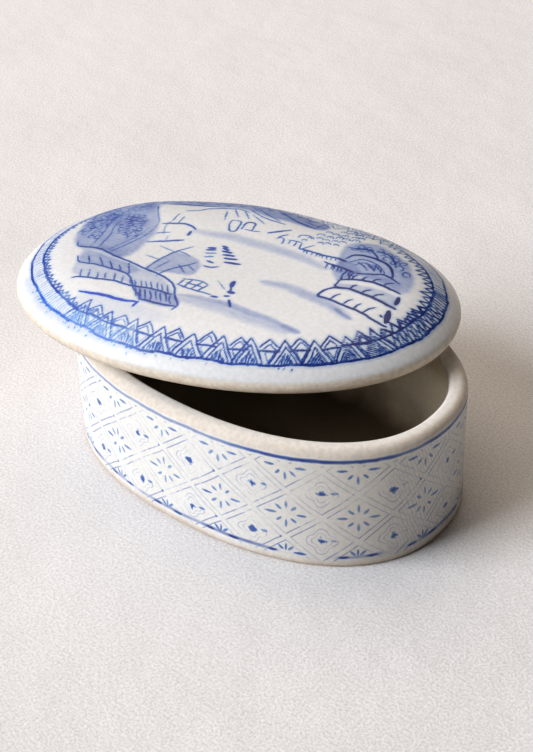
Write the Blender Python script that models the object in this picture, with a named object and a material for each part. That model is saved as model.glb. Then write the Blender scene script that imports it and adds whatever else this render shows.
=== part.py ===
"""Oval porcelain trinket box: a deep oval base and a low crowned lid with a locating ring.

The lid stands askew on the rim of the base, as a loose lid that was put down half open.
Metres, +Z up. The origin is the centre of the flat foot, and +X runs along the base.
"""
import bpy
import bmesh
import math
import numpy as np

# Base: an oval wall with a rounded rim and a flat foot.
BASE_HALF_LENGTH = 0.0550
BASE_HALF_WIDTH = 0.0360
BASE_OVAL_POWER = 2.24
BASE_HEIGHT = 0.0348
WALL = 0.0046
FLOOR = 0.0050
FOOT_CHAMFER = 0.0008
RIM_OUTER_ROUND = 0.0024
RIM_INNER_ROUND = 0.0012
FLOOR_FILLET = 0.0050

# Lid: a solid edge roll, a low crown above it and a locating ring below it.
LID_HALF_LENGTH = 0.0582
LID_HALF_WIDTH = 0.0396
LID_OVAL_POWER = 2.09
EDGE_ROLL = 0.0025
CROWN_RISE = 0.0069
RING_HALF_LENGTH = 0.0494
RING_HALF_WIDTH = 0.0304
RING_WALL = 0.0030
RING_DEPTH = 0.0040
RING_ROUND = 0.0006
RING_FILLET = 0.0030
SHELL = 0.0042
HOLLOW_EDGE_SHARE = 0.38

# Where the lid stands on the base.
RESTING_GAP = 0.0003
LID_SHIFT = (-0.01345, 0.00509)
LID_TURN = math.radians(19.5)
EDGE_ROLL_HEIGHT = BASE_HEIGHT + RESTING_GAP + RING_DEPTH + EDGE_ROLL

SEGMENTS = 80
SHARP_ANGLE = math.radians(40)


def clear_scene():
    """Remove every object, and the meshes and materials that they leave behind."""
    for old in list(bpy.data.objects):
        bpy.data.objects.remove(old, do_unlink=True)
    for store in (bpy.data.meshes, bpy.data.materials):
        for old in list(store):
            if old.users == 0:
                store.remove(old)


def make_glaze(name, colour, roughness):
    """A plain glazed porcelain."""
    material = bpy.data.materials.new(name)
    material.use_nodes = True
    shader = material.node_tree.nodes["Principled BSDF"]
    shader.inputs["Base Color"].default_value = (*colour, 1.0)
    shader.inputs["Roughness"].default_value = roughness
    shader.inputs["Metallic"].default_value = 0.0
    return material


def oval(half_length, half_width, power, height):
    """One ring of a superellipse, anticlockwise from +X: |x/a|^p + |y/b|^p = 1."""
    turn = np.arange(SEGMENTS) * 2.0 * np.pi / SEGMENTS
    across, along = np.sin(turn), np.cos(turn)
    x = half_length * np.sign(along) * np.abs(along) ** (2.0 / power)
    y = half_width * np.sign(across) * np.abs(across) ** (2.0 / power)
    return np.stack([x, y, np.full(SEGMENTS, height)], axis=1)


def arc(centre_inset, centre_height, radius, start, end, steps):
    """Points (inset, height) along a round corner, from one angle to another in degrees.

    0 degrees points outwards, so the inset falls there, and 90 degrees points up.
    """
    points = []
    for angle in np.radians(np.linspace(start, end, steps)):
        inset = centre_inset - radius * math.cos(angle)
        points.append((inset, centre_height + radius * math.sin(angle)))
    return points


def loft(name, rings, first_pole, last_pole):
    """Join rings of equal count into one closed skin, with a fan to a pole at each end."""
    skin = bmesh.new()
    rows = [[skin.verts.new(point) for point in ring] for ring in rings]
    start = skin.verts.new(first_pole)
    finish = skin.verts.new(last_pole)
    for this_side in range(SEGMENTS):
        next_side = (this_side + 1) % SEGMENTS
        skin.faces.new((start, rows[0][next_side], rows[0][this_side]))
        for lower, upper in zip(rows, rows[1:]):
            skin.faces.new((lower[this_side], lower[next_side], upper[next_side], upper[this_side]))
        skin.faces.new((finish, rows[-1][this_side], rows[-1][next_side]))
    mesh = bpy.data.meshes.new(name)
    skin.to_mesh(mesh)
    skin.free()
    mesh.shade_smooth()
    mesh.set_sharp_from_angle(angle=SHARP_ANGLE)
    return mesh


def make_base_mesh():
    """Foot, wall, rounded rim, inner wall and floor as one skin."""
    outer_height = BASE_HEIGHT - RIM_OUTER_ROUND
    inner_height = BASE_HEIGHT - RIM_INNER_ROUND
    outline = [(FOOT_CHAMFER, 0.0), (0.0, FOOT_CHAMFER)]
    outline += arc(RIM_OUTER_ROUND, outer_height, RIM_OUTER_ROUND, 0, 90, 5)
    outline += arc(WALL - RIM_INNER_ROUND, inner_height, RIM_INNER_ROUND, 90, 180, 4)
    outline += arc(WALL + FLOOR_FILLET, FLOOR + FLOOR_FILLET, FLOOR_FILLET, 0, -90, 4)
    rings = []
    for inset, height in outline:
        half_length = BASE_HALF_LENGTH - inset
        rings.append(oval(half_length, BASE_HALF_WIDTH - inset, BASE_OVAL_POWER, height))
    return loft("box_base", rings, (0.0, 0.0, 0.0), (0.0, 0.0, FLOOR))


def crown_height(share):
    """Height of the crown above the edge roll's centre, from the roll (0) to the middle (1).

    The crown leaves the roll at 45 degrees and levels out: rise * (1 - (1 - share) ** steep).
    """
    start = EDGE_ROLL * math.sin(math.radians(45))
    span = LID_HALF_WIDTH - EDGE_ROLL * (1 - math.cos(math.radians(45)))
    steep = span / CROWN_RISE
    return start + CROWN_RISE * (1 - (1 - share) ** steep)


def crown_ring(share, height):
    """A ring of the crown: even insets near the edge, closing to a point in the middle."""
    roll_inset = EDGE_ROLL * (1 - math.cos(math.radians(45)))
    half_width = (LID_HALF_WIDTH - roll_inset) * (1 - share)
    longer = (LID_HALF_LENGTH - LID_HALF_WIDTH) * (1 - share ** 3)
    return oval(half_width + longer, half_width, LID_OVAL_POWER, height)


def make_lid_mesh():
    """Hollow, locating ring, ledge, edge roll and crown as one skin, round the roll's centre."""
    ring_bottom = -EDGE_ROLL - RING_DEPTH
    inner_length = RING_HALF_LENGTH - RING_WALL
    inner_width = RING_HALF_WIDTH - RING_WALL
    fillet_top = crown_height(HOLLOW_EDGE_SHARE) - SHELL
    rings = []
    for share in (0.86, 0.72, 0.58, 0.46, HOLLOW_EDGE_SHARE):
        rings.append(crown_ring(share, crown_height(share) - SHELL))
    for inset, drop in ((RING_FILLET * 0.3, RING_FILLET * 0.4), (0.0, RING_FILLET)):
        rings.append(oval(inner_length - inset, inner_width - inset, LID_OVAL_POWER, fillet_top - drop))
    rings.append(oval(inner_length, inner_width, LID_OVAL_POWER, ring_bottom + RING_ROUND))
    for inset in (RING_WALL - RING_ROUND, RING_ROUND):
        rings.append(oval(RING_HALF_LENGTH - inset, RING_HALF_WIDTH - inset, LID_OVAL_POWER, ring_bottom))
    for height in (ring_bottom + RING_ROUND, -EDGE_ROLL):
        rings.append(oval(RING_HALF_LENGTH, RING_HALF_WIDTH, LID_OVAL_POWER, height))
    for inset, height in arc(EDGE_ROLL, 0.0, EDGE_ROLL, -90, 45, 7):
        rings.append(oval(LID_HALF_LENGTH - inset, LID_HALF_WIDTH - inset, LID_OVAL_POWER, height))
    for share in (0.035, 0.075, 0.12, 0.175, 0.24, 0.32, 0.44, 0.62, 0.82):
        rings.append(crown_ring(share, crown_height(share)))
    bottom_pole = (0.0, 0.0, crown_height(1.0) - SHELL)
    return loft("lid", rings, bottom_pole, (0.0, 0.0, crown_height(1.0)))


clear_scene()
collection = bpy.data.collections.new("porcelain_trinket_box")
bpy.context.scene.collection.children.link(collection)

box_base = bpy.data.objects.new("box_base", make_base_mesh())
box_base.data.materials.append(make_glaze("base_porcelain", (0.76, 0.76, 0.75), 0.34))
collection.objects.link(box_base)

lid = bpy.data.objects.new("lid", make_lid_mesh())
lid.data.materials.append(make_glaze("lid_porcelain", (0.72, 0.75, 0.82), 0.32))
lid.location = (*LID_SHIFT, EDGE_ROLL_HEIGHT)
lid.rotation_euler = (0.0, 0.0, LID_TURN)
collection.objects.link(lid)
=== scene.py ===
import math

import bpy
import numpy as np
from mathutils import Matrix, Vector


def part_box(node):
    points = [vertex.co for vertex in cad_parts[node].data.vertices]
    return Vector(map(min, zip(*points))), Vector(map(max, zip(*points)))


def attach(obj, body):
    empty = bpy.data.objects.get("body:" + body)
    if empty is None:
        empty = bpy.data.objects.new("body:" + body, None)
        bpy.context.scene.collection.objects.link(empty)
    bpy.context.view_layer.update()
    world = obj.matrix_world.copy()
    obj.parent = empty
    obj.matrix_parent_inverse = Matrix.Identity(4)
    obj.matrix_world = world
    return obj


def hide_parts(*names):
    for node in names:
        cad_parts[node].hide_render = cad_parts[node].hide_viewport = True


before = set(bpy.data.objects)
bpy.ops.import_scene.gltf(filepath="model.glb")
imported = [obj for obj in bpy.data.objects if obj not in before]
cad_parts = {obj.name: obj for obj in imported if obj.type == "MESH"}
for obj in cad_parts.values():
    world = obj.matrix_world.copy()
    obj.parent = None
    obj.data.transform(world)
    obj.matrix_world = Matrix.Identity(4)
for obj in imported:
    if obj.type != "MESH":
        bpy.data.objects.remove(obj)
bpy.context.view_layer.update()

# ------------------------------------------------------------------------------------------------
# The box: a deep oval bowl of white porcelain, pressed in a mould and finished by hand.
# It is painted in cobalt under a satin glaze, with a trellis of flower and star cells all round.
# The rim and the foot were wiped bare before firing, so they show the warm cream of the clay.
# ------------------------------------------------------------------------------------------------

MM = 0.001

base_low, base_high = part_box("box_base")
BOX_HALF_LENGTH = (base_high[0] - base_low[0]) / 2 / MM
BOX_HALF_WIDTH = (base_high[1] - base_low[1]) / 2 / MM
BOX_HEIGHT = base_high[2] / MM
BOX_OVAL_POWER = 2.24
BOX_WALL = 4.6
BOX_FLOOR = 5.0
FOOT_CHAMFER = 0.8
RIM_OUTER_ROUND = 2.4
RIM_INNER_ROUND = 1.2
FLOOR_FILLET = 5.0
FOOT_STEPS = 7
CHAMFER_STEPS = 5
BOX_SIDES = 720
WAVE_DEPTH = 0.07
RIM_SAG = 0.06

TRELLIS_REPEATS = 17
TRELLIS_HEIGHT = 14.4
FLOWER_START = 1.5
FLOWER_HEIGHT = 7.7
TRELLIS_BAND = 0.75
FOOT_LINE_HEIGHT = 3.2
RIM_LINE_HEIGHT = 31.9
GLAZE_TOP = 33.0
RIM_BARE_FROM = 32.3
INSIDE_FROM = 39.2
INSIDE_SHADE_FROM = 56.0
INSIDE_SHADE_FULL = 74.0


def oval(half_length, half_width, power, turn):
    """The superellipse |x/a|^p + |y/b|^p = 1, as x and y at each turn in radians from +X."""
    along = np.cos(turn)
    across = np.sin(turn)
    x = half_length * np.sign(along) * np.abs(along) ** (2 / power)
    y = half_width * np.sign(across) * np.abs(across) ** (2 / power)
    return x, y


def corner(centre_inset, centre_height, radius, start, end, steps):
    """A round corner of a section: circle points (inset, height) from one angle to another.

    0 degrees points outwards, so the inset falls there, and 90 degrees points up.
    """
    angle = np.radians(np.linspace(start, end, steps))
    return np.stack([centre_inset - radius * np.cos(angle), centre_height + radius * np.sin(angle)], axis=1)


def straight(start, end, steps):
    """A straight stretch of a section: points (inset, height), without its two ends."""
    share = np.linspace(0, 1, steps + 2)[1:-1, None]
    return np.array(start) * (1 - share) + np.array(end) * share


def section_length(section, zero_at):
    """Running length along a section of (inset, height) points, counted from point zero_at."""
    steps = np.hypot(*np.diff(section, axis=0).T)
    length = np.concatenate([[0.0], np.cumsum(steps)])
    return length - length[zero_at]


def running_length(x, y):
    """Running length round a closed ring, with one value more than points for the closing side."""
    steps = np.hypot(np.diff(np.append(x, x[0])), np.diff(np.append(y, y[0])))
    return np.concatenate([[0.0], np.cumsum(steps)])


def ring_faces(rows, sides, first):
    """Quads between neighbouring rings of equal count, numbered row by row from vertex first."""
    row = np.arange(rows - 1)[:, None] * sides + first
    side = np.arange(sides)[None, :]
    after = (side + 1) % sides
    return np.stack([row + side, row + after, row + sides + after, row + sides + side], axis=2).reshape(-1, 4)


def make_skin(name, points, quads, triangles):
    """One smooth mesh object from points in millimetres and whole arrays of quads and triangles."""
    mesh = bpy.data.meshes.new(name)
    mesh.from_pydata(points * MM, [], quads.tolist() + triangles.tolist())
    mesh.shade_smooth()
    piece = bpy.data.objects.new(name, mesh)
    bpy.context.scene.collection.objects.link(piece)
    return piece


def box_section():
    """Foot, outer wall, round rim, inner wall, fillet and floor as (inset, height) points."""
    outer = BOX_HEIGHT - RIM_OUTER_ROUND
    inner = BOX_HEIGHT - RIM_INNER_ROUND
    bowl = BOX_WALL + FLOOR_FILLET
    return np.vstack([
        straight((BOX_HALF_WIDTH, 0.0), (FOOT_CHAMFER, 0.0), FOOT_STEPS),
        corner(FOOT_CHAMFER, FOOT_CHAMFER, FOOT_CHAMFER, -90, 0, CHAMFER_STEPS),
        straight((0.0, FOOT_CHAMFER), (0.0, outer), 18),
        corner(RIM_OUTER_ROUND, outer, RIM_OUTER_ROUND, 0, 90, 11),
        corner(BOX_WALL - RIM_INNER_ROUND, inner, RIM_INNER_ROUND, 90, 180, 7),
        straight((BOX_WALL, inner), (BOX_WALL, BOX_FLOOR + FLOOR_FILLET), 9),
        corner(bowl, BOX_FLOOR + FLOOR_FILLET, FLOOR_FILLET, 0, -90, 9),
        straight((bowl, BOX_FLOOR), (BOX_HALF_WIDTH, BOX_FLOOR), 7),
    ])


def make_box():
    """The section carried round the oval: each point of it makes a ring that is inset by its inset.

    The wall draws in by up to 0.3 mm in a few slow waves, as a hand-finished wall does.
    """
    section = box_section()
    inset, height = section.T[:, :, None]
    turn = np.arange(BOX_SIDES)[None, :] * 2 * np.pi / BOX_SIDES
    outer_x, outer_y = oval(BOX_HALF_LENGTH, BOX_HALF_WIDTH, BOX_OVAL_POWER, turn[0])
    waves = 2 + np.sin(3 * turn + 0.11 * height) + np.sin(5 * turn + 1.3 - 0.07 * height)
    inset = inset + WAVE_DEPTH * waves * np.clip(height / 6, 0, 1)
    half_length = np.maximum(BOX_HALF_LENGTH - inset, 0.0)
    half_width = np.maximum(BOX_HALF_WIDTH - inset, 0.0)
    x, y = oval(half_length, half_width, BOX_OVAL_POWER, turn)
    sag = RIM_SAG * (1 + np.sin(2 * turn + 0.7)) * np.clip(height / BOX_HEIGHT, 0, 1) ** 4
    z = np.broadcast_to(height - sag, x.shape)
    rows = len(section)
    points = np.stack([x, y, z], axis=2).reshape(-1, 3)
    points = np.vstack([points, [[0, 0, 0], [0, 0, BOX_FLOOR]]])
    side = np.arange(BOX_SIDES)
    after = (side + 1) % BOX_SIDES
    last = (rows - 1) * BOX_SIDES
    under = np.stack([np.full(BOX_SIDES, len(points) - 2), after, side], axis=1)
    over = np.stack([np.full(BOX_SIDES, len(points) - 1), last + side, last + after], axis=1)
    quads = ring_faces(rows, BOX_SIDES, 0)
    piece = make_skin("painted_box", points, quads, np.vstack([under, over]))

    # The map of the wall: millimetres round the foot across, and millimetres up the section.
    around = running_length(outer_x, outer_y)
    up = section_length(section, FOOT_STEPS + CHAMFER_STEPS // 2)
    left, right = around[:-1], around[1:]
    middle = (left + right) / 2
    quad_u = np.tile(np.stack([left, right, right, left], axis=1), (rows - 1, 1))
    quad_v = np.repeat(np.stack([up[:-1], up[:-1], up[1:], up[1:]], axis=1), BOX_SIDES, axis=0)
    under_u = np.stack([middle, right, left], axis=1)
    over_u = np.stack([middle, left, right], axis=1)
    under_v = np.tile([up[0] - 1, up[0], up[0]], BOX_SIDES)
    over_v = np.tile([up[-1] + 1, up[-1], up[-1]], BOX_SIDES)
    u = np.concatenate([quad_u.ravel(), under_u.ravel(), over_u.ravel()])
    v = np.concatenate([quad_v.ravel(), under_v, over_v])
    wall_map = piece.data.uv_layers.new(name="wall_map")
    wall_map.data.foreach_set("uv", np.stack([u, v], axis=1).ravel())
    return piece, around[-1]


class Wire:
    """A value on its way through a material: arithmetic written on it adds the Math nodes."""

    def __init__(self, tree, socket=None):
        self.tree = tree
        self.socket = socket

    def make(self, kind, settings, inputs, output=0):
        """Add a node of a kind, set its settings, fill its sockets, and give back one output."""
        node = self.tree.nodes.new(kind)
        for name, value in settings.items():
            setattr(node, name, value)
        for key, value in inputs.items():
            if isinstance(value, Wire):
                self.tree.links.new(value.socket, node.inputs[key])
            else:
                node.inputs[key].default_value = value
        return Wire(self.tree, node.outputs[output])

    def sum_up(self, operation, *values):
        """Add a Math node with an operation and its values."""
        return self.make("ShaderNodeMath", {"operation": operation}, dict(enumerate(values)))

    def __add__(self, other):
        return self.sum_up("ADD", self, other)

    def __sub__(self, other):
        return self.sum_up("SUBTRACT", self, other)

    def __rsub__(self, other):
        return self.sum_up("SUBTRACT", other, self)

    def __mul__(self, other):
        return self.sum_up("MULTIPLY", self, other)

    def __truediv__(self, other):
        return self.sum_up("DIVIDE", self, other)

    def __pow__(self, other):
        return self.sum_up("POWER", self, other)

    def __abs__(self):
        return self.sum_up("ABSOLUTE", self)

    __radd__ = __add__
    __rmul__ = __mul__

    def fract(self):
        return self.sum_up("FRACT", self)

    def most(self, other):
        return self.sum_up("MAXIMUM", self, other)

    def least(self, other):
        return self.sum_up("MINIMUM", self, other)

    def fade(self, low, high):
        """A soft step: 0 below low, 1 above high."""
        ends = {"From Min": low, "From Max": high}
        settings = {"interpolation_type": "SMOOTHSTEP"}
        return self.make("ShaderNodeMapRange", settings, {"Value": self, **ends})

    def parts(self):
        """The three numbers of a vector or a colour."""
        return [self.make("ShaderNodeSeparateXYZ", {}, {"Vector": self}, i) for i in range(3)]

    def tint(self, under, over):
        """A colour that goes from under to over as this value goes from 0 to 1."""
        colours = {0: self, 6: under, 7: over}
        return self.make("ShaderNodeMix", {"data_type": "RGBA"}, colours, 2)

    def noise(self, scale, detail=2.0, rough=0.5, output=0):
        """Cloudy noise on this vector, between 0 and 1, at so many cells to the metre."""
        inputs = {"Vector": self, "Scale": scale, "Detail": detail, "Roughness": rough}
        return self.make("ShaderNodeTexNoise", {}, inputs, output)


def start_glaze(name):
    """A new material with its shader, and the place on the piece as a wire."""
    material = bpy.data.materials.new(name)
    material.use_nodes = True
    tree = material.node_tree
    shader = tree.nodes["Principled BSDF"]
    place = Wire(tree).make("ShaderNodeTexCoord", {}, {}, 3)
    return material, shader, place


def feed(shader, **wires):
    """Link wires to the shader's sockets, whose names are written with _ for a space."""
    for name, wire in wires.items():
        wire.tree.links.new(wire.socket, shader.inputs[name.replace("_", " ")])


def paint_cobalt(depth, under, stain):
    """Cobalt seen through glaze: of each colour of light it keeps stain ** depth, as a dye does."""
    kept = {i: depth.sum_up("POWER", share, depth) for i, share in enumerate(stain)}
    veil = depth.make("ShaderNodeCombineXYZ", {}, kept)
    settings = {"data_type": "RGBA", "blend_type": "MULTIPLY"}
    return depth.make("ShaderNodeMix", settings, {0: 1.0, 6: under, 7: veil}, 2)


def iron_specks(place, scale, share):
    """Small rusty specks, one in some of the cells of an even scatter: 1 in the middle of a speck."""
    settings = {"voronoi_dimensions": "3D"}
    inputs = {"Vector": place, "Scale": scale}
    reach = place.make("ShaderNodeTexVoronoi", settings, inputs, 0)
    chosen = place.make("ShaderNodeTexVoronoi", settings, inputs, 1).parts()
    size = chosen[1] * 0.5 * MM * scale
    return (1 - (reach / size).fade(0.55, 1.0)) * (1 - chosen[0].fade(share, share + 0.01))


def finish_glaze(shader, place, colour, flow, specks, bare, dust, grit):
    """Fine grain over a colour, a satin coat on the glaze, dry gritty bare clay, and pits for specks.

    Dust is how far the grain darkens the glaze, and how much further it darkens clay.
    """
    grain = place.noise(2600, 2) * 0.5 + place.noise(900, 2)
    colour = (grain.fade(0.55, 0.95) * (dust[0] + dust[1] * bare)).tint(colour, IRON_BROWN)
    relief = (flow * 0.35 + grain * (0.10 + grit * bare)) - specks * 0.8
    bump = {"Height": relief, "Strength": 0.35, "Distance": 0.12 * MM}
    feed(shader, Base_Color=colour, Roughness=0.40 + 0.28 * bare + (flow - 0.5) * 0.12,
         Coat_Weight=(1 - bare) * 0.20, Normal=place.make("ShaderNodeBump", {}, bump))
    shader.inputs["Specular IOR Level"].default_value = 0.35
    shader.inputs["Coat Roughness"].default_value = 0.25


GLAZE_WHITE = (0.790, 0.795, 0.790, 1)
GLAZE_COOL = (0.715, 0.740, 0.770, 1)
GLAZE_CREAM = (0.790, 0.772, 0.705, 1)
GLAZE_PAINTED_SHADE_RIGHT = (0.620, 0.585, 0.520, 1)
GLAZE_INSIDE_PAINTED_LIGHT = (0.890, 0.780, 0.590, 1)
GLAZE_PAINTED_SHADE_INSIDE = (0.070, 0.050, 0.030, 1)
CLAY_CREAM = (0.800, 0.735, 0.640, 1)
CLAY_TAN = (0.480, 0.350, 0.235, 1)
CLAY_PALE = (0.800, 0.790, 0.765, 1)
COBALT = (0.038, 0.108, 0.480)
THIN_COBALT = (0.057, 0.090, 0.340)
IRON_BROWN = (0.060, 0.035, 0.020, 1)


def box_glaze(length_round):
    """White glaze with the trellis painted under it, bare cream rim and foot, sandy underside."""
    material, shader, place = start_glaze("painted_box_glaze")
    pitch = length_round / TRELLIS_REPEATS
    around, up, _ = place.make("ShaderNodeUVMap", {"uv_map": "wall_map"}, {}).parts()
    sway_x, sway_y, sway_z = place.noise(75, 2, output=1).parts()
    flow = place.noise(420, 3)
    bristle = place.noise(1300, 2)
    pressure = place.noise(150, 2)
    place_x, place_y, _ = place.parts()
    across = around + (sway_x - 0.5) * 1.5
    height = up + (sway_y - 0.5) * 1.3

    # Each point's place from the middle of its flower cell, and of its star cell.
    column = (across - FLOWER_START) / pitch
    row = (height - FLOWER_HEIGHT) / TRELLIS_HEIGHT
    flower_x = ((column + 0.5).fract() - 0.5) * pitch
    flower_y = ((row + 0.5).fract() - 0.5) * TRELLIS_HEIGHT
    star_x = abs((column.fract() - 0.5) * pitch)
    star_y = abs((row.fract() - 0.5) * TRELLIS_HEIGHT)

    # The trellis: two fine lines either side of the diamond |x| / pitch + |y| / height = 1/2.
    diamond = abs(flower_x) / pitch + abs(flower_y) / TRELLIS_HEIGHT
    from_edge = (diamond - 0.5) * (pitch * TRELLIS_HEIGHT / math.hypot(pitch, TRELLIS_HEIGHT))
    line = 1 - abs(abs(from_edge) - TRELLIS_BAND + (bristle - 0.5) * 0.12).fade(0.04, 0.26)
    rising = (flower_x * flower_y).fade(0.8, -0.8)
    broken = (pressure + (flow - 0.5) * 0.5).fade(0.36, 0.58)
    trellis = line * (0.12 + 0.17 * rising) * (0.25 + 1.1 * broken)

    # A flower: two faint rings of four petals, a comma on the right petal and a dark middle.
    reach = (flower_x * flower_x + flower_y * flower_y + 0.01) ** 0.5
    lobes = 1 - 8 * (flower_x * flower_y / (reach * reach)) ** 2.0
    wobble = (flow - 0.5) * 1.1
    outer_petal = 1 - abs(reach / (1 + 0.17 * lobes) + wobble - 3.3).fade(0.05, 0.24)
    inner_petal = 1 - abs(reach / (1 + 0.20 * lobes) + wobble - 2.2).fade(0.05, 0.22)
    petals = (outer_petal * 0.16).most(inner_petal * 0.12) * (0.1 + 1.1 * broken)
    comma = 1 - (((flower_x - 3.0) / 0.9) ** 2.0 + ((flower_y - 0.5) / 0.4) ** 2.0 + wobble).fade(0.2, 1.6)
    ragged = (flow - 0.5) * 2.4 + (bristle - 0.5) * 1.6
    heart = 1 - (reach * (1 - 0.14 * lobes) + ragged).fade(0.15, 1.15)
    off_tip = (flower_x - pitch / 2 + 1.3) ** 2.0 + flower_y * flower_y
    tip_dot = 1 - (off_tip + (bristle - 0.5) * 0.3).fade(0.02, 0.22)
    blots = (comma * 0.6 * broken).most(heart * (0.7 + 0.9 * flow)).most(tip_dot * 0.7 * flow.fade(0.35, 0.6))

    # A star: eight brush dabs, each an ellipse that lies along its arm.
    def dab(along, aside, middle, half_length, half_width):
        """One dab so far out along an arm, with a ragged edge."""
        taper = ((along - middle) / half_length) ** 2.0 + (aside / half_width) ** 2.0
        return 1 - (taper + (bristle - 0.5) * 1.5 + (flow - 0.5) * 1.2).fade(0.2, 1.5)

    def slanted(x, y):
        """How far along and aside of the arm at 45 degrees."""
        return (x + y) * math.sqrt(0.5), (x - y) * math.sqrt(0.5)

    star = dab(star_x, star_y, 3.8, 1.35, 0.40).most(dab(star_y, star_x, 2.9, 1.2, 0.36) * 0.75)
    star = star.most(dab(*slanted(star_x, star_y), 2.6, 0.95, 0.39) * 0.85) * height.fade(5.0, 5.6)

    # The lowest stars are squeezed on to the foot line: two flat dabs beside three small ones.
    over_foot = height - 3.1
    low_star = (dab(star_x, over_foot, 3.4, 1.4, 0.40) * 1.6).most(dab(over_foot, star_x, 1.4, 1.1, 0.30))
    star = star.most(low_star).most(dab(*slanted(star_x, over_foot), 1.7, 1.0, 0.36))

    # The cobalt: thin strokes, and full ones where the brush was fresh from the pot.
    within = height.fade(1.5, 2.2) * (1 - height.fade(30.2, 31.0))
    in_star = from_edge.fade(0.2, 0.5)
    slow = place.noise(26, 1)
    loaded = (0.20 + 1.0 * flow) * (0.35 + 1.0 * pressure)
    rim_line = 1 - abs(height - RIM_LINE_HEIGHT + (flow - 0.5) * 0.4).fade(0.05, 0.75)
    refilled = place_x.fade(0.010, 0.035) * (0.30 + 0.70 * abs(place_y + 0.011).fade(0.002, 0.006))
    combing = ((across + height * 0.35 + (flow - 0.5) * 1.8) / 0.95).fract()
    combed = (1 - abs(combing - 0.5).fade(0.05, 0.25)) * place_x.fade(0.048, 0.054)
    foot_line = (1 - abs(height - FOOT_LINE_HEIGHT).fade(0.1, 0.8)) * sway_z.fade(0.34, 0.60)
    glazed = (1 - up.fade(GLAZE_TOP, GLAZE_TOP + 0.8)) * up.fade(0.9, 1.6)
    fine = trellis.most(petals * (1 - in_star)).most(combed * 0.11) * within
    fine = fine.most(foot_line * (0.15 + 0.8 * flow)).most(rim_line * (0.20 + 0.3 * flow)) * glazed
    bold = (blots * (1 - in_star)).most(star * in_star.most(1 - height.fade(4.8, 5.2)) * loaded) * within
    bold = bold.most(rim_line * (0.45 + 1.1 * flow) * (0.15 * slow + 0.85 * refilled)) * glazed

    # The ground under it: glaze with painted shade towards the right end, clay wiped bare at the rim and the
    # foot, and the inside in painted light and shade.
    glaze = (slow * 0.5 + flow * 0.3).tint(GLAZE_CREAM, GLAZE_WHITE)
    # Painted shade: the glaze darkens towards the right end of the box, the end turned from the key light.
    glaze = (place_x.fade(0.012, 0.052) * (0.6 + 0.3 * slow)).tint(glaze, GLAZE_PAINTED_SHADE_RIGHT)
    painted = paint_cobalt(bold, paint_cobalt(fine, glaze, THIN_COBALT), COBALT)
    bare_rim = (up + (flow - 0.5) * 0.7).fade(RIM_BARE_FROM, RIM_BARE_FROM + 0.9)
    bare_rim = bare_rim * (1 - up.fade(INSIDE_FROM, INSIDE_FROM + 1.0))
    bare_foot = 1 - (up + (sway_x - 0.5) * 1.6).fade(0.7, 2.6)
    toasted = (1 - (up + (sway_y - 0.5) * 1.5).fade(33.6, 36.8)) * (0.14 + 0.34 * flow)
    clay = (bare_foot * (0.25 + 0.6 * flow)).most(toasted).tint(CLAY_CREAM, CLAY_TAN)
    clay = (up.fade(34.2, 37.0) * 0.9).tint(clay, CLAY_PALE)
    dark_foot = (1 - abs(up - 0.2).fade(0.2, 0.6)) * 0.75
    clay = dark_foot.tint(clay, CLAY_TAN)
    bare = bare_rim.most(bare_foot)
    colour = (bare * 0.85).tint(painted, clay)
    inside = up.fade(INSIDE_FROM + 0.4, INSIDE_FROM + 1.8)
    # Painted light and shade inside the bowl: the glaze is brighter and warmer near the rim as painted light,
    # and darkens to near black deeper down as painted shade.
    stain = (up + (sway_x - 0.5) * 14).fade(INSIDE_SHADE_FROM, INSIDE_SHADE_FULL) * (0.75 + 0.4 * slow)
    colour = inside.tint(colour, stain.tint(GLAZE_INSIDE_PAINTED_LIGHT, GLAZE_PAINTED_SHADE_INSIDE))
    specks = iron_specks(place, 42, 0.30)
    colour = (specks * 0.8).tint(colour, IRON_BROWN)
    finish_glaze(shader, place, colour, flow, specks, bare, dust=(0.10, 0.03), grit=0.55)
    return material


box, box_length_round = make_box()
box.data.materials.append(box_glaze(box_length_round))
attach(box, "base")
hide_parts("box_base")

# ------------------------------------------------------------------------------------------------
# The lid: a low oval dome with a rolled edge and, underneath, a ring that drops inside the rim.
# A river landscape and a border of crossed chevrons are brushed on the raw clay in cobalt, first
# the pale washes and then the lines, and the whole dome is glazed. The edge and the ring are bare.
# ------------------------------------------------------------------------------------------------

lid_low, lid_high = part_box("lid")
LID_TURN = math.radians(19.5)
LID_HALF_LENGTH = 58.2
LID_HALF_WIDTH = 39.6
LID_OVAL_POWER = 2.09
EDGE_ROLL = 2.5
CROWN_RISE = 6.9
RING_HALF_LENGTH = 49.4
RING_HALF_WIDTH = 30.4
RING_WALL = 3.0
RING_DEPTH = 4.0
RING_ROUND = 0.6
RING_FILLET = 3.0
SHELL = 4.2
HOLLOW_EDGE_SHARE = 0.38
CROWN_STEPS = 264
CROWN_WAVE = 0.05
KILN_WARP = ((1.5, -33, 24, 16, 12), (0.8, -8, 34, 16, 9), (-0.7, 15, 32, 9, 9))

roll_share = 1 - math.cos(math.radians(45))
CROWN_HALF_LENGTH = LID_HALF_LENGTH - EDGE_ROLL * roll_share
CROWN_HALF_WIDTH = LID_HALF_WIDTH - EDGE_ROLL * roll_share
LID_CENTRE = ((lid_low[0] + lid_high[0]) / 2 / MM, (lid_low[1] + lid_high[1]) / 2 / MM)
ROLL_HEIGHT = lid_low[2] / MM + RING_DEPTH + EDGE_ROLL


def crown_height(share):
    """Height of the crown over the roll's centre, from its edge (0) to the middle (1).

    It leaves the roll at 45 degrees and levels out: rise * (1 - (1 - share) ** steep).
    """
    steep = CROWN_HALF_WIDTH / CROWN_RISE
    return EDGE_ROLL * math.sin(math.radians(45)) + CROWN_RISE * (1 - (1 - share) ** steep)


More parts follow.
